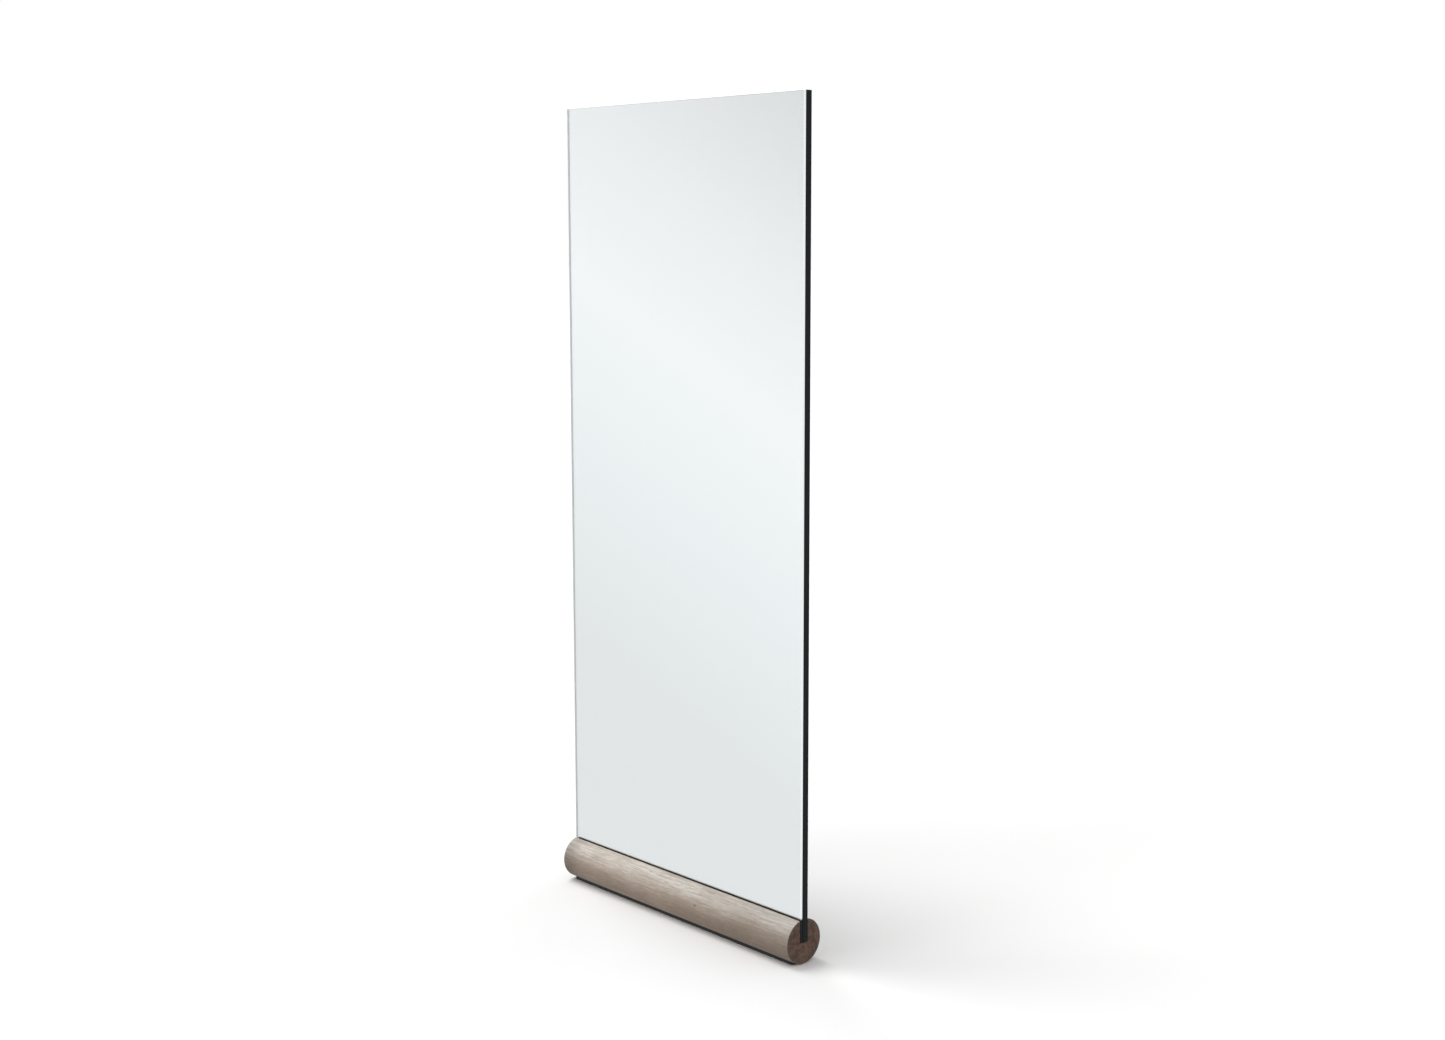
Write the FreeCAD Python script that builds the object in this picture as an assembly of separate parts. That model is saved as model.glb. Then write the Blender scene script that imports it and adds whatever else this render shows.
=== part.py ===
import FreeCAD, Part
import math
import os

# Frameless floor mirror that stands in the slot of a round wooden log.
# Millimetres. +X runs along the log, -Y is the side that the mirror faces, +Z is up.
# The origin is on the floor, under the middle of the log.

# Overall sizes
log_diameter = 100.0
log_length = 780.0
panel_width = 780.0
panel_height = 1800.0

# Panel, from the mirror's face to the back
glass_thickness = 6.0
film_gap = 0.1
film_thickness = 0.2
tape_thickness = 0.7
board_thickness = 15.0
band_thickness = 1.0
glass_arris = 0.8
band_edge_round = 0.5

# Mounting tape
tape_width = 25.0
tape_count = 5
tape_edge_distance = 30.0

# Slot and what lines it
liner_thickness = 1.0
liner_side_clearance = 0.25
liner_end_setback = 3.0
liner_top_setback = 0.5
slot_floor_below_axis = 3.0
block_thickness = 2.0
block_length = 80.0
block_side_clearance = 1.0

# Foot
foot_width = 50.0
foot_bar_thickness = 8.0
foot_corner_radius = 10.0
foot_side_clearance = 0.3
foot_end_distance = 10.0
sole_thickness = 2.0
sole_proud = 1.0

# Screws that hold the foot bar
screw_count = 5
screw_end_distance = 40.0
screw_shank_diameter = 5.0
screw_head_diameter = 10.0
screw_head_height = 3.0
screw_length = 35.0
screw_tip_length = 6.0
screw_clearance = 0.05
screw_key_across_flats = 3.0
screw_key_depth = 1.8

# Rounding of the log's end edges and of the slot's top edges
log_end_round = 1.5

# Places that follow from the sizes above
log_radius = log_diameter / 2
axis_height = sole_proud + log_radius
panel_thickness = (glass_thickness + film_gap + film_thickness + tape_thickness
                   + board_thickness)
slot_width = panel_thickness + 2 * (liner_thickness + liner_side_clearance)
slot_floor = axis_height - slot_floor_below_axis
panel_bottom = slot_floor + block_thickness
panel_front = -panel_thickness / 2
glass_back = panel_front + glass_thickness
film_front = glass_back + film_gap
tape_front = film_front + film_thickness
board_front = tape_front + tape_thickness
slot_half = slot_width / 2
slot_lip_height = axis_height + math.sqrt(log_radius ** 2 - slot_half ** 2)
foot_length = log_length - 2 * foot_end_distance
foot_bar_top = sole_thickness + foot_bar_thickness


def box(size_x, size_y, size_z, centre_x, low_y, low_z):
    """A box centred on centre_x, with its lowest Y and Z given."""
    corner = FreeCAD.Vector(centre_x - size_x / 2, low_y, low_z)
    return Part.makeBox(size_x, size_y, size_z, corner)


def evenly_spaced(count, half_span):
    """Places along X from -half_span to half_span."""
    step = 2 * half_span / (count - 1)
    return [-half_span + step * number for number in range(count)]


def edges_along(shape, direction, where):
    """The straight edges of shape along one axis whose middle passes the test."""
    found = []
    for edge in shape.Edges:
        line = edge.Vertexes[-1].Point - edge.Vertexes[0].Point
        if line.Length < 1e-6:
            continue
        if abs(line.normalize().dot(direction)) > 0.999 and where(edge.CenterOfMass):
            found.append(edge)
    return found


def foot_plate(grow, low_z, high_z):
    """A flat strip with rounded corners, centred under the log."""
    length = foot_length + 2 * grow
    width = foot_width + 2 * grow
    plate = box(length, width, high_z - low_z, 0, -width / 2, low_z)
    corners = edges_along(plate, FreeCAD.Vector(0, 0, 1), lambda middle: True)
    return plate.makeFillet(foot_corner_radius + grow, corners)


def screw_body(grow):
    """A countersunk screw that points up, with its head's face at z = 0."""
    shank = screw_shank_diameter / 2 + grow
    head = screw_head_diameter / 2 + grow
    tip_start = screw_length - screw_tip_length
    outline = [
        FreeCAD.Vector(0, 0, 0),
        FreeCAD.Vector(head, 0, 0),
        FreeCAD.Vector(shank, 0, screw_head_height),
        FreeCAD.Vector(shank, 0, tip_start),
        FreeCAD.Vector(0, 0, screw_length + grow),
        FreeCAD.Vector(0, 0, 0),
    ]
    face = Part.Face(Part.makePolygon(outline))
    return face.revolve(FreeCAD.Vector(0, 0, 0), FreeCAD.Vector(0, 0, 1), 360)


def at_screw_places(shape):
    """Copies of shape at every screw of the foot bar."""
    copies = []
    for place in evenly_spaced(screw_count, foot_length / 2 - screw_end_distance):
        copy = shape.copy()
        copy.translate(FreeCAD.Vector(place, 0, sole_thickness))
        copies.append(copy)
    return copies


def make_base_log():
    """The round log with its slot, its foot groove and the screw holes."""
    log = Part.makeCylinder(log_radius, log_length,
                            FreeCAD.Vector(-log_length / 2, 0, axis_height),
                            FreeCAD.Vector(1, 0, 0))
    rims = [edge for edge in log.Edges if isinstance(edge.Curve, Part.Circle)]
    log = log.makeFillet(log_end_round, rims)
    slot = box(2 * log_length, slot_width, log_diameter, 0, -slot_half, slot_floor)
    groove = foot_plate(foot_side_clearance, -log_radius, foot_bar_top)
    return log.cut([slot, groove] + at_screw_places(screw_body(screw_clearance)))


def make_foot_bar():
    """The flat steel bar with its countersunk holes."""
    bar = foot_plate(0, sole_thickness, foot_bar_top)
    return bar.cut(at_screw_places(screw_body(screw_clearance)))


def make_foot_screws():
    """Countersunk wood screws with a six-sided socket."""
    socket_radius = screw_key_across_flats / math.sqrt(3)
    corners = []
    for number in range(7):
        turn = number * math.pi / 3
        corners.append(FreeCAD.Vector(socket_radius * math.cos(turn),
                                      socket_radius * math.sin(turn), 0))
    socket_face = Part.Face(Part.makePolygon(corners))
    socket = socket_face.extrude(FreeCAD.Vector(0, 0, screw_key_depth))
    return Part.makeCompound(at_screw_places(screw_body(0).cut(socket)))


def make_liner(side):
    """A strip on the slot's wall: side is -1 in front of the panel, 1 behind it."""
    length = log_length - 2 * liner_end_setback
    height = slot_lip_height - liner_top_setback - slot_floor
    low_y = -slot_half if side < 0 else slot_half - liner_thickness
    return box(length, liner_thickness, height, 0, low_y, slot_floor)


def make_setting_block(side):
    """A soft block on the slot's floor, at a quarter of the panel's width."""
    width = slot_width - 2 * block_side_clearance
    return box(block_length, width, block_thickness, side * panel_width / 4,
               -width / 2, slot_floor)


def make_mirror_glass():
    """The pane, with its sharp edges taken off front and back."""
    pane = box(panel_width, glass_thickness, panel_height, 0, panel_front, panel_bottom)
    across = edges_along(pane, FreeCAD.Vector(1, 0, 0), lambda middle: True)
    upright = edges_along(pane, FreeCAD.Vector(0, 0, 1), lambda middle: True)
    return pane.makeChamfer(glass_arris, across + upright)


def make_reflecting_film():
    """The silvered coat and its film, which stop at the glass's arris."""
    width = panel_width - 2 * glass_arris
    height = panel_height - 2 * glass_arris
    return box(width, film_thickness, height, 0, film_front, panel_bottom + glass_arris)


def make_mounting_tape():
    """Upright strips of double-sided tape between the film and the board."""
    height = panel_height - 2 * tape_edge_distance
    span = panel_width / 2 - tape_edge_distance - tape_width / 2
    strips = []
    for place in evenly_spaced(tape_count, span):
        strips.append(box(tape_width, tape_thickness, height, place, tape_front,
                          panel_bottom + tape_edge_distance))
    return Part.makeCompound(strips)


def make_back_board():
    """The board inside its edge bands."""
    return box(panel_width - 2 * band_thickness, board_thickness,
               panel_height - 2 * band_thickness, 0, board_front,
               panel_bottom + band_thickness)


def make_side_band(side):
    """The band on one upright side of the board, over its whole height."""
    centre = side * (panel_width - band_thickness) / 2
    band = box(band_thickness, board_thickness, panel_height, centre, board_front,
               panel_bottom)
    outer = edges_along(band, FreeCAD.Vector(0, 0, 1),
                        lambda middle: side * middle.x > abs(centre))
    return band.makeFillet(band_edge_round, outer)


def make_level_band(low_z, side):
    """The band on the board's top (side 1) or bottom (side -1), between the others."""
    length = panel_width - 2 * band_thickness
    band = box(length, board_thickness, band_thickness, 0, board_front, low_z)
    middle_z = low_z + band_thickness / 2
    outer = edges_along(band, FreeCAD.Vector(1, 0, 0),
                        lambda middle: side * (middle.z - middle_z) > 0)
    return band.makeFillet(band_edge_round, outer)


panel_top = panel_bottom + panel_height
nodes = {
    "base_log": make_base_log(),
    "foot_bar": make_foot_bar(),
    "foot_sole": foot_plate(0, 0, sole_thickness),
    "foot_screws": make_foot_screws(),
    "slot_liner_front": make_liner(-1),
    "slot_liner_rear": make_liner(1),
    "setting_block_left": make_setting_block(-1),
    "setting_block_right": make_setting_block(1),
    "mirror_glass": make_mirror_glass(),
    "reflecting_film": make_reflecting_film(),
    "mounting_tape": make_mounting_tape(),
    "back_board": make_back_board(),
    "edge_band_left": make_side_band(-1),
    "edge_band_right": make_side_band(1),
    "edge_band_top": make_level_band(panel_top - band_thickness, 1),
    "edge_band_bottom": make_level_band(panel_bottom, -1),
}

os.makedirs("parts", exist_ok=True)
for name, shape in nodes.items():
    shape.exportStep("parts/" + name + ".step")
    print(name, len(shape.Solids), "solids", shape.isValid(), round(shape.Volume))
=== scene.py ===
import math

import bmesh
import bpy
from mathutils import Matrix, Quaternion, Vector


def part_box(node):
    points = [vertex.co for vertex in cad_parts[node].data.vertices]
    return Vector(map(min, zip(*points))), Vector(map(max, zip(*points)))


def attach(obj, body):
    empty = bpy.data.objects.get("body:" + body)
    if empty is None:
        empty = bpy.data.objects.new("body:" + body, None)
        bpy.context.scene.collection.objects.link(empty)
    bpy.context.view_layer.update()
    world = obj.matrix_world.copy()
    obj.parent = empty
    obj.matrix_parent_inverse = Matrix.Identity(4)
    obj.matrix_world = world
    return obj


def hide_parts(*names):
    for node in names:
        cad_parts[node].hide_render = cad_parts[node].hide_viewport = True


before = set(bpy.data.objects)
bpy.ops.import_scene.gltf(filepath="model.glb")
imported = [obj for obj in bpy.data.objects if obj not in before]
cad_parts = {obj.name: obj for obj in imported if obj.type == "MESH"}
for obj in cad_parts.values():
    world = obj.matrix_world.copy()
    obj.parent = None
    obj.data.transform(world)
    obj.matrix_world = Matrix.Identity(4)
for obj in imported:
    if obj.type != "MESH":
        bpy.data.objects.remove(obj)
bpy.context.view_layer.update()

# ---------------------------------------------------------------------------------------------
# The base log. One length of oak turned to a plain round bar, with its end edges eased by hand.
# A slot is sawn along its top down to the middle, and a pocket for the foot is routed underneath.
# The outside is limed and oiled, which greys it, and the thirsty end grain goes dark brown.

log_low, log_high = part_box("base_log")
front_liner_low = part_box("slot_liner_front")[0]
bar_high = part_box("foot_bar")[1]
screws_low, screws_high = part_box("foot_screws")

log_radius = (log_high.y - log_low.y) / 2
log_axis = log_low.z + log_radius
log_half_length = log_high.x
end_rounding = 0.0015
lip_easing = 0.0008
slot_half = -front_liner_low.y
slot_floor = front_liner_low.z - log_axis
slot_lip = log_axis + math.sqrt(log_radius ** 2 - slot_half ** 2)

foot_corner = 0.010
pocket_clearance = 0.0003
screw_count = 5
screw_head_radius = 0.0050
screw_hole_radius = 0.0026
screw_span = screws_high.x - screws_low.x - 2 * screw_head_radius
screw_places = [screws_low.x + screw_head_radius + step * screw_span / (screw_count - 1)
                for step in range(screw_count)]


class Value:
    """What comes out of a shader node. Sums on values add Math nodes."""

    def __init__(self, finish, socket):
        self.finish = finish
        self.socket = socket

    def math(self, operation, *numbers):
        sockets = dict(enumerate(numbers))
        return self.finish.node("ShaderNodeMath", {"operation": operation}, sockets)

    def __add__(self, other):
        return self.math("ADD", self, other)

    def __radd__(self, other):
        return self.math("ADD", other, self)

    def __sub__(self, other):
        return self.math("SUBTRACT", self, other)

    def __rsub__(self, other):
        return self.math("SUBTRACT", other, self)

    def __mul__(self, other):
        return self.math("MULTIPLY", self, other)

    def __rmul__(self, other):
        return self.math("MULTIPLY", other, self)

    def __truediv__(self, other):
        return self.math("DIVIDE", self, other)

    def __pow__(self, other):
        return self.math("POWER", self, other)

    def __abs__(self):
        return self.math("ABSOLUTE", self)

    def root(self):
        return self.math("SQRT", self)

    def fraction(self):
        return self.math("FRACT", self)

    def at_least(self, other):
        """The larger of two values."""
        return self.math("MAXIMUM", self, other)

    def rise(self, start, end):
        """0 up to start, 1 from end on, and a soft slope between."""
        settings = {"interpolation_type": "SMOOTHSTEP"}
        sockets = {"Value": self, "From Min": start, "From Max": end}
        return self.finish.node("ShaderNodeMapRange", settings, sockets)


class Finish:
    """A material, or the world, made of nodes."""

    def __init__(self, owner):
        owner.use_nodes = True
        self.owner = owner
        self.tree = owner.node_tree
        self.tree.nodes.clear()

    def node(self, kind, settings=None, sockets=None, output=0):
        """Adds one node: its settings first, then the values or links of its sockets."""
        made = self.tree.nodes.new(kind)
        for name, setting in (settings or {}).items():
            if name == "stops":
                ramp = made.color_ramp.elements
                while len(ramp) < len(setting):
                    ramp.new(0.5)
                for stop, (place, colour) in zip(ramp, setting):
                    stop.position = place
                    stop.color = (*colour, 1)
            else:
                setattr(made, name, setting)
        for name, content in (sockets or {}).items():
            if isinstance(content, Value):
                self.tree.links.new(content.socket, made.inputs[name])
            else:
                made.inputs[name].default_value = content
        return Value(self, made.outputs[output]) if len(made.outputs) else None

    def place(self):
        """Where a point is, in the frame's own axes."""
        return self.node("ShaderNodeTexCoord", output="Object")

    def split(self, vector):
        """A vector's three numbers."""
        x = self.node("ShaderNodeSeparateXYZ", {}, {0: vector})
        outputs = x.socket.node.outputs
        return x, Value(self, outputs[1]), Value(self, outputs[2])

    def stretched(self, vector, scales):
        """The vector with each of its axes scaled."""
        settings = {"operation": "MULTIPLY"}
        return self.node("ShaderNodeVectorMath", settings, {0: vector, 1: scales})

    def scaled(self, vector, amount):
        """The vector, or the colour, times a value."""
        settings = {"operation": "SCALE"}
        return self.node("ShaderNodeVectorMath", settings, {0: vector, "Scale": amount})

    def noise(self, vector, scales, detail=3.0, roughness=0.55):
        """Soft noise from 0 to 1; scales is how many lumps there are to a metre on each axis."""
        sockets = {"Vector": self.stretched(vector, scales), "Scale": 1.0,
                   "Detail": detail, "Roughness": roughness}
        return self.node("ShaderNodeTexNoise", {}, sockets)

    def blend(self, amount, first, second):
        """From the first colour to the second as amount goes from 0 to 1."""
        # A Mix node's colours go in at sockets 6 and 7 and come out at 2.
        sockets = {0: amount}
        for number, colour in ((6, first), (7, second)):
            sockets[number] = colour if isinstance(colour, Value) else (*colour, 1)
        return self.node("ShaderNodeMix", {"data_type": "RGBA"}, sockets, output=2)

    def bump(self, height, distance, strength=1.0):
        """A surface that is raised by height times distance."""
        sockets = {"Height": height, "Distance": distance, "Strength": strength}
        return self.node("ShaderNodeBump", {}, sockets)

    def surface(self, shader):
        """Ends the material with its shader."""
        self.node("ShaderNodeOutputMaterial", {}, {"Surface": shader})
        return self.owner


def new_finish(name):
    return Finish(bpy.data.materials.new(name))


def limed_oak():
    """Oak cut off centre: its rings streak the log's side and curve across its ends."""
    wood = new_finish("limed_oak")
    place = wood.place()
    x, y, z = wood.split(place)

    # The rings wander about a pith that lies below and behind the log's axis.
    pith_y, pith_z = 0.013, log_axis - 0.024
    ring_spacing = 0.0026
    wander = wood.noise(place, (1.7, 17, 17), 2.0)
    sway = wood.noise(place, (2.9, 13, 13), 2.0)
    from_pith_y = y - pith_y + (wander - 0.5) * 0.022
    from_pith_z = z - pith_z + (sway - 0.5) * 0.020
    from_pith = (from_pith_y ** 2 + from_pith_z ** 2).root()
    ring = (from_pith / ring_spacing).fraction()
    late_wood = ring.rise(0.30, 0.84) * (1 - ring.rise(0.88, 1.0))

    # Along the side: slow patches of grey and brown, then streaks, fibres and open pores.
    patch = wood.noise(place, (7, 24, 24), 4.0, 0.6)
    streak = wood.noise(place, (13, 240, 240), 5.0, 0.70)
    fibre = wood.noise(place, (14, 820, 820), 4.0, 0.65)
    pore_noise = wood.noise(place, (60, 1500, 1500), 2.0, 0.5)
    pores = pore_noise.rise(0.58, 0.70) * (0.35 + 0.65 * (1 - late_wood))

    # One small knot shows on the front, drawn out along the grain.
    knot_x, knot_y, knot_z = 0.090, -0.0486, log_axis + 0.0118
    knot_stretch, knot_heart, knot_edge = 1.7, 0.0006, 0.0034
    along_knot = (x - knot_x) / knot_stretch
    from_knot = (along_knot ** 2 + (y - knot_y) ** 2 + (z - knot_z) ** 2).root()
    knot = 1 - from_knot.rise(knot_heart, knot_edge)

    # Painted highlight: the log's upper half is paler and greyer, standing in for the light that
    # falls on it from above.
    lower_pale, top_lit_pale = (0.500, 0.408, 0.334), (0.790, 0.755, 0.695)
    lower_brown, top_lit_brown = (0.395, 0.300, 0.237), (0.620, 0.555, 0.490)
    streak_brown, late_brown = (0.345, 0.262, 0.208), (0.300, 0.225, 0.175)
    fibre_pale, pore_brown = (0.640, 0.590, 0.520), (0.150, 0.112, 0.086)
    knot_brown = (0.070, 0.045, 0.034)
    painted_top_light = z.rise(log_axis + 0.002, log_axis + 0.042)
    pale = wood.blend(painted_top_light, lower_pale, top_lit_pale)
    brown = wood.blend(painted_top_light, lower_brown, top_lit_brown)
    side = wood.blend(patch.rise(0.36, 0.66) * 0.75, pale, brown)
    side = wood.blend(streak.rise(0.40, 0.70) * 0.62, side, streak_brown)
    side = wood.blend(late_wood * 0.20, side, late_brown)
    side = wood.blend(fibre.rise(0.40, 0.74) * 0.38, side, fibre_pale)
    side = wood.blend(pores * 0.56, side, pore_brown)
    side = wood.blend(knot * 0.66, side, knot_brown)

    # Short flecks break up the streaks. The log darkens slowly to the right, a painted shade for
    # light that falls from the left, and it also darkens at its left end.
    fleck = wood.noise(place, (48, 330, 330), 4.0, 0.7)
    shade_to_right = x.rise(-0.12, log_half_length)
    left_end = 1 - x.rise(-log_half_length, 0.085 - log_half_length)
    tone = 1.00 - shade_to_right * 0.23 - left_end * 0.38
    side = wood.scaled(side, tone * (0.69 + fleck * 0.62))

    # Across the ends: rings, rays that fan out from the pith, blotches of oil and open vessels.
    turn = from_pith_z.math("ARCTAN2", from_pith_z, from_pith_y)
    fan = wood.node("ShaderNodeCombineXYZ", {}, {0: turn * 17.0, 1: from_pith * 22.0})
    rays = wood.node("ShaderNodeTexNoise", {}, {"Vector": fan, "Scale": 1.6, "Detail": 3.0})
    vessel_distance = wood.node("ShaderNodeTexVoronoi", {"feature": "F1"},
                                {"Vector": wood.stretched(place, (0, 1, 1)), "Scale": 1100.0})
    vessels = 1 - vessel_distance.rise(0.12, 0.42)
    blotch = wood.noise(place, (0, 62, 62), 4.0, 0.65)
    from_axis = (y ** 2 + (z - log_axis) ** 2).root()
    end_early, end_late = (0.248, 0.150, 0.111), (0.122, 0.076, 0.058)
    oil_dark, ray_pale = (0.072, 0.050, 0.041), (0.340, 0.205, 0.150)
    rim_grey, vessel_dark = (0.168, 0.134, 0.112), (0.040, 0.028, 0.024)
    end = wood.blend(late_wood * 0.60, end_early, end_late)
    end = wood.blend(blotch.rise(0.40, 0.58) * 0.74, end, oil_dark)
    end = wood.blend(rays.rise(0.50, 0.70) * 0.66, end, ray_pale)
    end = wood.blend(from_axis.rise(0.034, log_radius) * 0.50, end, rim_grey)
    end = wood.blend(vessels * 0.45, end, vessel_dark)
    # The side's colour gives way to the end's within the rounding of the log's end edge.
    on_end = abs(x).rise(log_half_length - 0.0012, log_half_length - 0.0002)
    colour = wood.blend(on_end, side, end)

    relief = fibre * 0.55 - pores * 0.9 - late_wood * 0.12 - knot * 0.3
    roughness = 0.50 + fibre * 0.16 + on_end * 0.12
    sockets = {"Base Color": colour, "Roughness": roughness, "Specular IOR Level": 0.32,
               "Normal": wood.bump(relief, 0.00022, 0.8)}
    return wood.surface(wood.node("ShaderNodeBsdfPrincipled", {}, sockets))


def log_section(radius):
    """The section round the log and into its slot, as points in Y and Z from the log's axis."""
    lip_steps, wall_steps, floor_steps, outside_steps = 6, 8, 8, 220
    lip_y = slot_half + lip_easing
    lip_z = math.sqrt(radius ** 2 - lip_y ** 2)
    corner_z = math.sqrt(radius ** 2 - slot_half ** 2)
    wall_z = corner_z - lip_easing
    rear = []
    for step in range(lip_steps + 1):
        t = step / lip_steps
        near, middle, far = (1 - t) ** 2, 2 * t * (1 - t), t ** 2
        rear.append((near * lip_y + (middle + far) * slot_half,
                     near * lip_z + middle * corner_z + far * wall_z))
    for step in range(1, wall_steps + 1):
        rear.append((slot_half, wall_z + (slot_floor - wall_z) * step / wall_steps))
    front = [(-y, z) for y, z in reversed(rear)]
    floor = [(slot_half * (1 - 2 * step / floor_steps), slot_floor)
             for step in range(1, floor_steps)]
    first_angle = math.asin(lip_y / radius)
    outside = []
    for step in range(1, outside_steps):
        angle = first_angle + (2 * math.pi - 2 * first_angle) * step / outside_steps
        outside.append((-radius * math.sin(angle), radius * math.cos(angle)))
    return rear + floor + front + outside


def make_piece(name, mesh, body, node, crisp_angle=35):
    """A shown piece that stands for a CAD node. Edges sharper than the angle stay crisp."""
    bmesh.ops.recalc_face_normals(mesh, faces=mesh.faces[:])
    data = bpy.data.meshes.new(name)
    mesh.to_mesh(data)
    mesh.free()
    data.polygons.foreach_set("use_smooth", [True] * len(data.polygons))
    data.set_sharp_from_angle(angle=math.radians(crisp_angle))
    piece = bpy.data.objects.new(name, data)
    bpy.context.scene.collection.objects.link(piece)
    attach(piece, body)
    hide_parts(node)
    return piece


def wear(piece, material):
    """Gives a piece its one material."""
    piece.data.materials.clear()
    piece.data.materials.append(material)


def add_prism(mesh, outline, low_z, high_z):
    """A solid with an upright wall round an outline of points in X and Y."""
    rings = []
    for height in (low_z, high_z):
        rings.append([mesh.verts.new((x, y, height)) for x, y in outline])
    for number in range(len(outline)):
        after = (number + 1) % len(outline)
        mesh.faces.new((rings[0][number], rings[0][after], rings[1][after], rings[1][number]))
    mesh.faces.new(rings[0][::-1])
    mesh.faces.new(rings[1])


def rounded_outline(half_x, half_y, corner, steps=10):
    """A rectangle with round corners, as points in X and Y."""
    points = []
    for number, (side_x, side_y) in enumerate(((1, 1), (-1, 1), (-1, -1), (1, -1))):
        for step in range(steps + 1):
            angle = (number + step / steps) * math.pi / 2
            points.append((side_x * (half_x - corner) + corner * math.cos(angle),
                           side_y * (half_y - corner) + corner * math.sin(angle)))
    return points


def circle_outline(centre_x, radius, steps=24):
    """A circle on the log's middle line, as points in X and Y."""
    turns = [2 * math.pi * step / steps for step in range(steps)]
    return [(centre_x + radius * math.cos(turn), radius * math.sin(turn)) for turn in turns]


def cut_away(piece, cutters):
    """Takes closed meshes out of a piece, one after another."""
    for cutter in cutters:
        data = bpy.data.meshes.new("cutter")
        bmesh.ops.recalc_face_normals(cutter, faces=cutter.faces[:])
        cutter.to_mesh(data)
        cutter.free()
        tool = bpy.data.objects.new("cutter", data)
        bpy.context.scene.collection.objects.link(tool)
        saw = piece.modifiers.new("saw", "BOOLEAN")
        saw.operation = "DIFFERENCE"
        saw.solver = "EXACT"
        saw.object = tool
        bpy.context.view_layer.update()
        seen = piece.evaluated_get(bpy.context.evaluated_depsgraph_get())
        cut = bpy.data.meshes.new_from_object(seen)
        piece.modifiers.clear()
        piece.data = cut
        bpy.data.objects.remove(tool)


def make_log():
    """The turned bar with its slot and rounded ends, then the foot's pocket and screw holes."""
    rounding_steps = 6
    body_steps = 32
    stations = []
    for step in range(rounding_steps + 1):
        angle = step / rounding_steps * math.pi / 2
        stations.append((end_rounding * (1 - math.sin(angle)),
                         end_rounding * (1 - math.cos(angle))))
    # The first station is where the rounding meets the side, the last is on the end face.
    sections = []
    for inset, shrink in reversed(stations):
        sections.append((-log_half_length + inset, log_radius - shrink))
    straight = log_half_length - end_rounding
    for step in range(1, body_steps):
        sections.append((-straight + 2 * straight * step / body_steps, log_radius))
    for inset, shrink in stations:
        sections.append((log_half_length - inset, log_radius - shrink))

    mesh = bmesh.new()
    rings = []
    for x, radius in sections:
        rings.append([mesh.verts.new((x, y, log_axis + z)) for y, z in log_section(radius)])
    around = len(rings[0])
    for left, right in zip(rings, rings[1:]):
        for number in range(around):
            after = (number + 1) % around
            mesh.faces.new((left[number], left[after], right[after], right[number]))
    mesh.faces.new(rings[0])
    mesh.faces.new(rings[-1][::-1])
    log = make_piece("log", mesh, "base", "base_log")

    pocket = bmesh.new()
    grown = pocket_clearance
    outline = rounded_outline(bar_high.x + grown, bar_high.y + grown, foot_corner + grown)
    add_prism(pocket, outline, -log_radius, bar_high.z)
    holes = bmesh.new()
    for place in screw_places:
        add_prism(holes, circle_outline(place, screw_hole_radius), 0, screws_high.z)
    cut_away(log, [pocket, holes])
    cut_crisp_angle = 30
    log.data.set_sharp_from_angle(angle=math.radians(cut_crisp_angle))
    wear(log, limed_oak())


make_log()

# ---------------------------------------------------------------------------------------------
# The foot. A flat steel bar, hot rolled, blacked and waxed, is let into the log's underside and
# held by five countersunk wood screws. A ribbed rubber sole is glued under it and meets the floor.

sole_low, sole_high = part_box("foot_sole")
sole_rib_pitch = 0.0038
sole_rib_depth = 0.0007
sole_edge = 0.0003


def blacked_steel():
    """Mill scale, drawn out along the bar by the rolls, under black wax."""
    steel = new_finish("blacked_steel")
    place = steel.place()
    scale = steel.noise(place, (160, 160, 160), 5.0, 0.7)
    rolled = steel.noise(place, (14, 900, 900), 3.0)
    colour = steel.blend(scale.rise(0.35, 0.7), (0.016, 0.016, 0.017), (0.034, 0.033, 0.033))
    sockets = {"Base Color": colour, "Metallic": 0.55, "Roughness": 0.46 + scale * 0.22,
               "Normal": steel.bump(scale * 0.6 + rolled * 0.4, 0.00012, 0.6)}
    return steel.surface(steel.node("ShaderNodeBsdfPrincipled", {}, sockets))


def black_rubber():
    """Matt black rubber with a fine moulded skin and a little dust."""
    rubber = new_finish("black_rubber")
    place = rubber.place()
    skin = rubber.noise(place, (1400, 1400, 1400), 3.0)
    dust = rubber.noise(place, (22, 22, 22), 4.0)
    dusty = dust.rise(0.45, 0.8) * 0.5
    colour = rubber.blend(dusty, (0.013, 0.013, 0.013), (0.036, 0.035, 0.033))
    sockets = {"Base Color": colour, "Roughness": 0.68 + skin * 0.18, "Specular IOR Level": 0.4,
               "Normal": rubber.bump(skin, 0.0001, 0.5)}
    return rubber.surface(rubber.node("ShaderNodeBsdfPrincipled", {}, sockets))


def zinc():
    """Zinc plating with a soft yellowish spangle."""
    metal = new_finish("zinc")
    place = metal.place()
    spangle = metal.noise(place, (500, 500, 500), 3.0)
    colour = metal.blend(spangle, (0.50, 0.50, 0.47), (0.66, 0.65, 0.60))
    sockets = {"Base Color": colour, "Metallic": 1.0, "Roughness": 0.28 + spangle * 0.2,
               "Normal": metal.bump(spangle, 0.00005, 0.5)}
    return metal.surface(metal.node("ShaderNodeBsdfPrincipled", {}, sockets))


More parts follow.
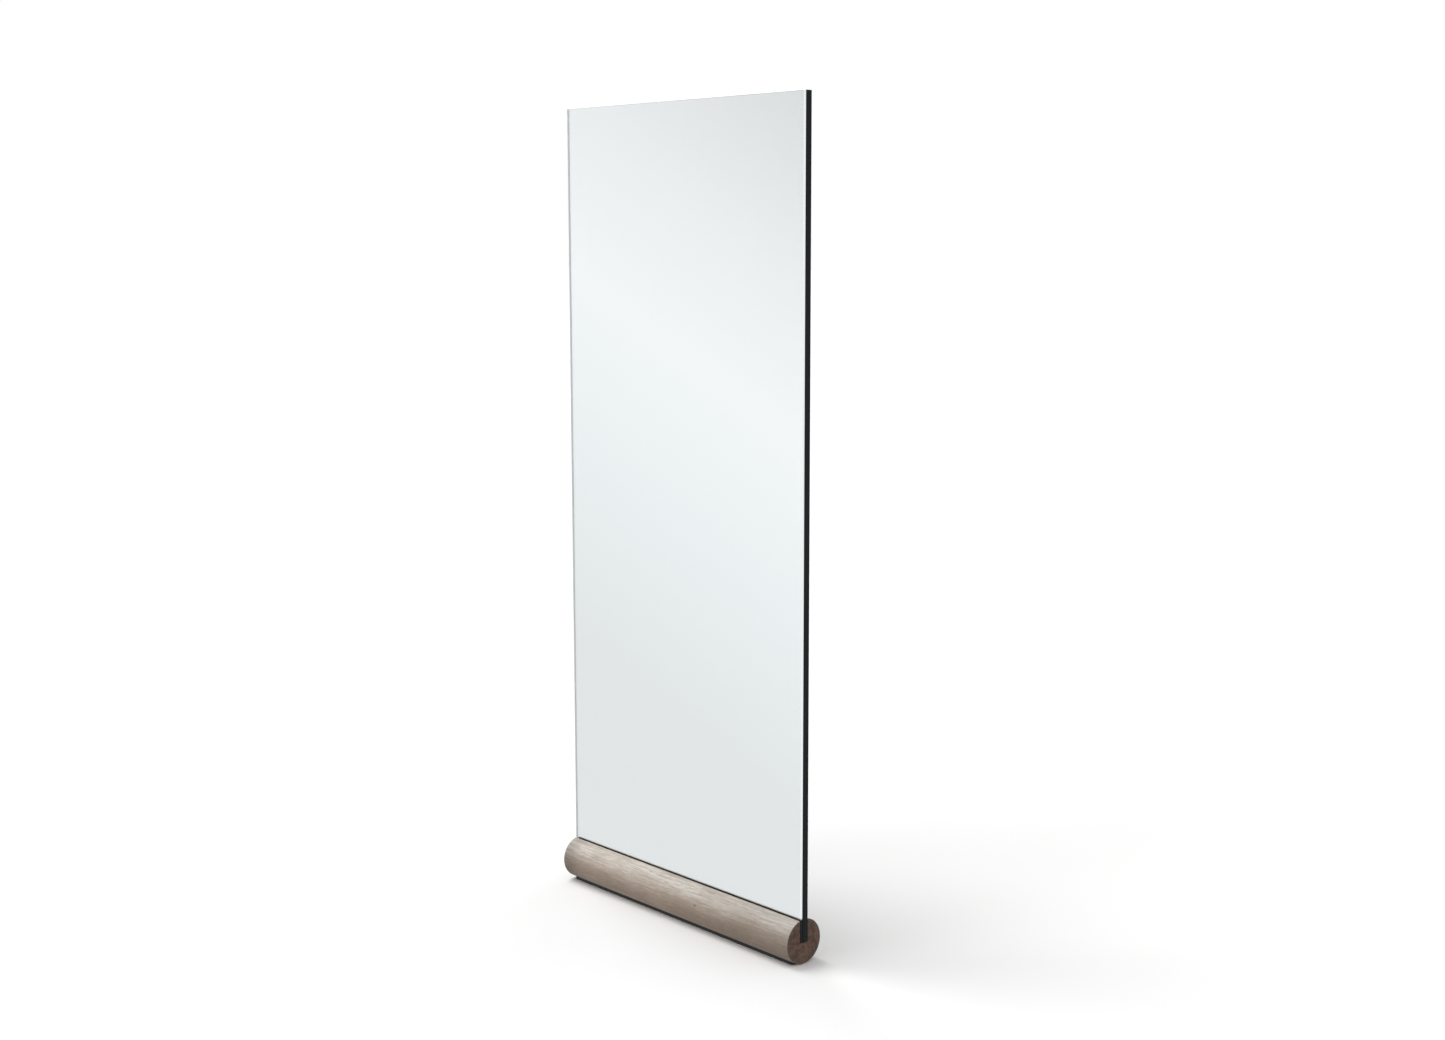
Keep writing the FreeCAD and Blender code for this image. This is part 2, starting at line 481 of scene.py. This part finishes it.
def make_sole(material):
    """A strip with round corners and fine ribs that run its length on the underside."""
    corner_steps = 12
    groove_share = 0.22
    mesh = bmesh.new()
    half_x, half_y = sole_high.x, sole_high.y
    stations = []
    for side in (-1, 1):
        for step in range(corner_steps + 1):
            turn = step / corner_steps * math.pi / 2
            stations.append(side * (half_x - foot_corner + foot_corner * math.sin(turn)))
    stations = sorted(set(round(x, 7) for x in stations))
    rib_count = int(2 * half_y / sole_rib_pitch) // 2 * 2 + 1
    groove = groove_share / rib_count
    sections = []
    for x in stations:
        past = max(0.0, abs(x) - (half_x - foot_corner))
        width = half_y - foot_corner + math.sqrt(max(0.0, foot_corner ** 2 - past ** 2))
        under = []
        for number in range(rib_count):
            share = (number + 0.5) / rib_count * 2 - 1
            depth = sole_rib_depth if abs(x) < half_x - foot_corner else 0.0
            for offset, lift in ((-groove * 2, 0), (-groove, 1), (groove, 1), (groove * 2, 0)):
                under.append(((share + offset) * width, sole_low.z + lift * depth))
        section = [(-width, sole_low.z + sole_edge)] + under + [(width, sole_low.z + sole_edge)]
        section += [(width, sole_high.z), (-width, sole_high.z)]
        sections.append([mesh.verts.new((x, y, z)) for y, z in section])
    around = len(sections[0])
    for left, right in zip(sections, sections[1:]):
        for number in range(around):
            after = (number + 1) % around
            mesh.faces.new((left[number], left[after], right[after], right[number]))
    mesh.faces.new(sections[0])
    mesh.faces.new(sections[-1][::-1])
    wear(make_piece("sole", mesh, "base", "foot_sole"), material)


def paint(node, material):
    """Gives a CAD node's object its finish."""
    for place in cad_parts[node].material_slots:
        place.material = material


def hexagon_radius(turn, across_flats):
    """How far a hexagon's side is from its middle in one direction."""
    from_corner = turn % (math.pi / 3)
    return across_flats / 2 / math.cos(from_corner - math.pi / 6)


def make_screws(material):
    """Countersunk screws that point up: a six-sided socket, a head and a helical thread."""
    shank_radius, core_radius, head_height = 0.0025, 0.0018, 0.0030
    across_flats, socket_depth, drill_point = 0.0030, 0.0018, 0.0004
    pitch, tip_length, point_length = 0.0022, 0.0060, 0.0008
    steps, steps_to_pitch = 18, 6
    crest_steepness = 4
    length = screws_high.z - screws_low.z
    turns = [2 * math.pi * step / steps for step in range(steps)]
    socket = [hexagon_radius(turn, across_flats) for turn in turns]

    # Each section is a height above the head's face, and the radius in every direction there.
    height = head_height + pitch
    sections = [(socket_depth, socket), (0, socket), (0, [screw_head_radius] * steps),
                (head_height, [shank_radius] * steps), (height, [shank_radius] * steps)]
    while height < length - point_length:
        height += pitch / steps_to_pitch
        taper = min(1, (length - height) / tip_length)
        radii = []
        for turn in turns:
            along_thread = (height / pitch - turn / (2 * math.pi)) % 1
            crest = max(0, 1 - abs(along_thread - 0.5) * crest_steepness)
            radii.append((core_radius + (shank_radius - core_radius) * crest) * taper)
        sections.append((height, radii))

    mesh = bmesh.new()
    for place in screw_places:
        rings = []
        for height, radii in sections:
            rings.append([mesh.verts.new((place + radius * math.cos(turn),
                                          radius * math.sin(turn), screws_low.z + height))
                          for turn, radius in zip(turns, radii)])
        for lower, upper in zip(rings, rings[1:]):
            for number in range(steps):
                after = (number + 1) % steps
                mesh.faces.new((lower[number], lower[after], upper[after], upper[number]))
        socket_end = mesh.verts.new((place, 0, screws_low.z + socket_depth + drill_point))
        tip = mesh.verts.new((place, 0, screws_high.z))
        for number in range(steps):
            after = (number + 1) % steps
            mesh.faces.new((rings[0][after], rings[0][number], socket_end))
            mesh.faces.new((rings[-1][number], rings[-1][after], tip))
    wear(make_piece("screws", mesh, "base", "foot_screws"), material)


rubber = black_rubber()
make_sole(rubber)
paint("foot_bar", blacked_steel())
make_screws(zinc())

# ---------------------------------------------------------------------------------------------
# The slot's lining. Self-adhesive black wool felt on both walls holds the panel upright, and two
# rubber blocks at the quarter points keep the glass off the wood.

felt_easing = 0.0002
block_easing = 0.0004


def black_felt():
    """Dense black wool with a fluffy face that throws back next to no light."""
    felt = new_finish("black_felt")
    place = felt.place()
    fluff = felt.noise(place, (900, 900, 900), 6.0, 0.8)
    tufts = felt.noise(place, (260, 260, 260), 3.0)
    colour = felt.blend(fluff.rise(0.35, 0.75), (0.006, 0.006, 0.007), (0.026, 0.026, 0.027))
    sockets = {"Base Color": colour, "Roughness": 0.95, "Specular IOR Level": 0.08,
               "Sheen Weight": 0.06, "Sheen Roughness": 0.5,
               "Normal": felt.bump(fluff * 0.7 + tufts * 0.5, 0.0004, 0.9)}
    return felt.surface(felt.node("ShaderNodeBsdfPrincipled", {}, sockets))


def make_strip(name, node, easing):
    """A bar that fills its CAD node's box, with its edges eased."""
    low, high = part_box(node)
    mesh = bmesh.new()
    bmesh.ops.create_cube(mesh, size=1.0)
    for corner in mesh.verts:
        for axis in range(3):
            middle = (low[axis] + high[axis]) / 2
            corner.co[axis] = middle + corner.co[axis] * (high[axis] - low[axis])
    bmesh.ops.bevel(mesh, geom=mesh.edges[:], offset=easing, segments=3, affect="EDGES",
                    clamp_overlap=True)
    return make_piece(name, mesh, "base", node)


felt = black_felt()
for side in ("front", "rear"):
    strip = make_strip("felt_" + side, "slot_liner_" + side, felt_easing)
    wear(strip, felt)
for side in ("left", "right"):
    block = make_strip("block_" + side, "setting_block_" + side, block_easing)
    wear(block, rubber)

# ---------------------------------------------------------------------------------------------
# The mirror. One pane of clear float glass with ground edges and a small arris all round, silvered
# on its back. Its protective film lies right behind it.

glass_low, glass_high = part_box("mirror_glass")
arris = 0.0008


def clear_glass():
    """Clear float glass, polished front and back. Its ground rim is frosted seen from within. Seen
    from outside it has a painted glow, standing in for the light the pane carries, and painted
    shade, near black, down in the slot."""
    glass = new_finish("clear_glass")
    place = glass.place()
    rim_starts, rim_full = arris * 1.02, arris * 0.98
    x, _, z = glass.split(place)
    rim_sides = abs(x).rise(glass_high.x - rim_starts, glass_high.x - rim_full)
    rim_top = z.rise(glass_high.z - rim_starts, glass_high.z - rim_full)
    rim_bottom = 1 - z.rise(glass_low.z + rim_full, glass_low.z + rim_starts)
    rim = rim_sides.at_least(rim_top).at_least(rim_bottom)
    grinding = glass.noise(place, (60, 900, 60), 3.0)
    clear = glass.node("ShaderNodeBsdfPrincipled", {}, {
        "Base Color": glass.blend(rim, (0.995, 1.0, 1.0), (0.76, 0.80, 0.80)),
        "Roughness": rim * (0.35 + grinding * 0.3),
        "IOR": 1.52, "Transmission Weight": 1.0})
    # Heights are taken where the pane stands now. The painted glow starts at the log's lip and
    # painted shade fills the slot below it, so the rim lights up as it is lifted out.
    standing = glass.node("ShaderNodeNewGeometry", output="Position")
    height = glass.split(standing)[2]
    painted_light_above_slot = height.rise(slot_lip, slot_lip + 0.007)
    pale = glass.blend(grinding, (0.97, 0.99, 0.99), (0.86, 0.92, 0.93))
    satin = glass.node("ShaderNodeBsdfPrincipled", {}, {
        "Base Color": glass.blend(painted_light_above_slot, (0.008, 0.009, 0.010), pale),
        "Roughness": 0.35 + grinding * 0.25, "Specular IOR Level": 0.2,
        "Emission Color": glass.blend(painted_light_above_slot, (0, 0, 0), (0.42, 0.45, 0.45)),
        "Emission Strength": 1.0, "Normal": glass.bump(grinding, 0.00005, 0.5)})
    from_within = glass.node("ShaderNodeNewGeometry", output="Backfacing")
    ground = rim * (1 - from_within)
    return glass.surface(glass.node("ShaderNodeMixShader", {}, {0: ground, 1: clear, 2: satin}))


def silver():
    """The silver coat seen through the glass, with the faint wave of rolled glass. Its cut edges
    show the dark paint on its back."""
    coat = new_finish("silver")
    place = coat.place()
    half_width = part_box("reflecting_film")[1].x
    from_middle = abs(coat.split(place)[0])
    cut_edge = from_middle.rise(half_width - 0.00004, half_width - 0.00001)
    wave = coat.noise(place, (3.0, 3.0, 2.0), 1.0)
    haze = coat.noise(place, (40, 40, 40), 3.0)
    colour = coat.blend(haze, (0.942, 0.950, 0.948), (0.950, 0.957, 0.955))
    colour = coat.blend(cut_edge, colour, (0.015, 0.015, 0.016))
    sockets = {"Base Color": colour, "Metallic": 1 - cut_edge, "Roughness": cut_edge * 0.7,
               "Normal": coat.bump(wave, 0.00002, 1.0)}
    return coat.surface(coat.node("ShaderNodeBsdfPrincipled", {}, sockets))


paint("mirror_glass", clear_glass())
paint("reflecting_film", silver())

# ---------------------------------------------------------------------------------------------
# The back. A black-faced fibreboard carries the glass on upright strips of foam tape. Black bands
# are ironed on to its four edges and scraped to a small round.


def foam_tape():
    """Pale closed-cell foam."""
    foam = new_finish("foam_tape")
    cells = foam.noise(foam.place(), (1800, 1800, 1800), 3.0)
    colour = foam.blend(cells, (0.52, 0.52, 0.50), (0.70, 0.70, 0.67))
    sockets = {"Base Color": colour, "Roughness": 0.85, "Normal": foam.bump(cells, 0.0001, 0.6)}
    return foam.surface(foam.node("ShaderNodeBsdfPrincipled", {}, sockets))


def black_board():
    """Black melamine: a fine even pebble with a soft sheen, and faint wiping marks."""
    board = new_finish("black_board")
    place = board.place()
    pebble = board.noise(place, (1300, 1300, 1300), 2.0)
    wiped = board.noise(place, (9, 9, 2.2), 4.0, 0.6)
    colour = board.blend(wiped.rise(0.3, 0.8), (0.013, 0.014, 0.015), (0.022, 0.023, 0.025))
    sockets = {"Base Color": colour, "Roughness": 0.42 + wiped * 0.16 + pebble * 0.06,
               "Specular IOR Level": 0.3, "Normal": board.bump(pebble, 0.00008, 0.6)}
    return board.surface(board.node("ShaderNodeBsdfPrincipled", {}, sockets))


def black_band():
    """Smooth black plastic band, rubbed a little paler along its edges."""
    band = new_finish("black_band")
    place = band.place()
    y = band.split(place)[1]
    board_low, board_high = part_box("back_board")
    middle = (board_low.y + board_high.y) / 2
    half_thickness = (board_high.y - board_low.y) / 2
    rubbed = abs(y - middle).rise(half_thickness - 0.0012, half_thickness)
    drawn = band.noise(place, (700, 700, 6), 3.0)
    colour = band.blend(rubbed * 0.5, (0.005, 0.007, 0.009), (0.016, 0.018, 0.020))
    sockets = {"Base Color": colour, "Roughness": 0.42 + drawn * 0.16, "Specular IOR Level": 0.18,
               "Normal": band.bump(drawn, 0.00005, 0.5)}
    return band.surface(band.node("ShaderNodeBsdfPrincipled", {}, sockets))


paint("mounting_tape", foam_tape())
paint("back_board", black_board())
band = black_band()
for side in ("left", "right", "top", "bottom"):
    paint("edge_band_" + side, band)

# ---------------------------------------------------------------------------------------------
# The camera. A standard lens at a standing person's height looks a little down on the mirror from
# the front right, so that the log's right end shows.

camera_turn = math.radians(47.614)
camera_tilt = math.radians(-8.014)
camera_roll = math.radians(-0.081)
ahead = Vector((-math.sin(camera_turn) * math.cos(camera_tilt),
                math.cos(camera_turn) * math.cos(camera_tilt), math.sin(camera_tilt)))
rolled = Quaternion((0, 0, 1), camera_roll)

camera_data = bpy.data.cameras.new("camera")
camera_data.lens = 47.001
camera_data.sensor_width = 36.0
camera_data.shift_y = -0.0120
camera = bpy.data.objects.new("camera", camera_data)
bpy.context.scene.collection.objects.link(camera)
camera.location = (3.150, -2.755, 1.555)
camera.rotation_mode = "QUATERNION"
camera.rotation_quaternion = ahead.to_track_quat("-Z", "Y") @ rolled
bpy.context.scene.camera = camera
bpy.context.scene.view_settings.view_transform = "Standard"

# ---------------------------------------------------------------------------------------------
# The studio's floor and surround. White paper runs out of sight under a dome of soft light that is
# brightest overhead. What the mirror shows of it is even, but for one pale band that leans across.

floor_reach = 60.0
floor_mesh = bmesh.new()
bmesh.ops.create_grid(floor_mesh, x_segments=1, y_segments=1, size=floor_reach)
floor_data = bpy.data.meshes.new("floor")
floor_mesh.to_mesh(floor_data)
floor_mesh.free()
floor = bpy.data.objects.new("floor", floor_data)
bpy.context.scene.collection.objects.link(floor)
# No mirror shows the floor and it lights nothing: the surround's lower half stands in for it.
floor.visible_glossy = False
floor.visible_transmission = False
floor.visible_diffuse = False


def white_paper():
    """Matt white paper, very slightly uneven."""
    paper = new_finish("white_floor")
    speckle = paper.noise(paper.place(), (3, 3, 3), 2.0)
    colour = paper.blend(speckle, (0.86, 0.86, 0.86), (0.88, 0.88, 0.88))
    sockets = {"Base Color": colour, "Roughness": 0.9, "Specular IOR Level": 0.0}
    return paper.surface(paper.node("ShaderNodeBsdfPrincipled", {}, sockets))


wear(floor, white_paper())

world = bpy.data.worlds.new("surround")
bpy.context.scene.world = world
air = Finish(world)
direction = air.node("ShaderNodeTexCoord", output="Generated")
height = air.split(direction)[2]

# What mirrors and glass show: the leaning band, and the floor's grey below the horizon.
lean_axis = Vector((-0.75 * math.cos(camera_turn), 0.75 * math.sin(camera_turn), -1.0))
lean = air.node("ShaderNodeVectorMath", {"operation": "DOT_PRODUCT"},
                {0: direction, 1: lean_axis}, output="Value")
share = air.node("ShaderNodeMapRange", {}, {"Value": lean, "From Min": -0.113, "From Max": 0.267})
surround = air.node("ShaderNodeValToRGB", {"stops": [
    (0.00, (0.71, 0.72, 0.73)),
    (0.28, (0.84, 0.86, 0.87)),
    (0.50, (0.91, 0.93, 0.94)),
    (0.75, (0.84, 0.87, 0.88)),
    (1.00, (0.77, 0.79, 0.80)),
]}, {0: share})
below_horizon = (0.52, 0.51, 0.50)
surround = air.blend(height.rise(-0.60, -0.40), below_horizon, surround)
mirrored = air.node("ShaderNodeBackground", {}, {"Color": surround, "Strength": 1.06})

# What lights everything else: the dome, and from below it what a white floor throws back.
horizon_grey, overhead_white = (0.30, 0.29, 0.28), (1.0, 1.0, 1.0)
thrown_back = (0.42, 0.40, 0.38)
upward = air.node("ShaderNodeMapRange", {}, {"Value": height, "From Min": -0.05, "From Max": 1.0})
dome = air.blend(upward, horizon_grey, overhead_white)
dome = air.blend(height.rise(-0.14, -0.02), thrown_back, dome)
lit = air.node("ShaderNodeBackground", {}, {"Color": dome, "Strength": 0.88})
white = air.node("ShaderNodeBackground", {}, {"Color": (1, 1, 1, 1), "Strength": 1.0})

in_gloss = air.node("ShaderNodeLightPath", output="Is Glossy Ray")
through_glass = air.node("ShaderNodeLightPath", output="Is Transmission Ray")
in_camera = air.node("ShaderNodeLightPath", output="Is Camera Ray")
seen = air.node("ShaderNodeMixShader", {}, {0: in_gloss + through_glass, 1: lit, 2: mirrored})
seen = air.node("ShaderNodeMixShader", {}, {0: in_camera, 1: seen, 2: white})
air.node("ShaderNodeOutputWorld", {}, {"Surface": seen})

# ---------------------------------------------------------------------------------------------
# The lamps. A broad key lamp high on the front left throws a short shadow behind and to the right.
# A weak fill lamp, low in front, lifts the log's front. The glass and the mirror don't show it.


def add_lamp(name, aim, energy, width):
    """A far, broad lamp: where it shines to, its strength, and how many degrees it fills."""
    light = bpy.data.lights.new(name, "SUN")
    light.angle = math.radians(width)
    light.energy = energy
    lamp = bpy.data.objects.new(name, light)
    bpy.context.scene.collection.objects.link(lamp)
    lamp.rotation_euler = Vector(aim).to_track_quat("-Z", "Y").to_euler()
    return lamp


add_lamp("key", aim=(1.08, 0.20, -1.80), energy=1.82, width=40)
fill = add_lamp("fill", aim=(0.25, 0.90, -0.50), energy=0.45, width=30)
fill.visible_glossy = False
fill.visible_transmission = False
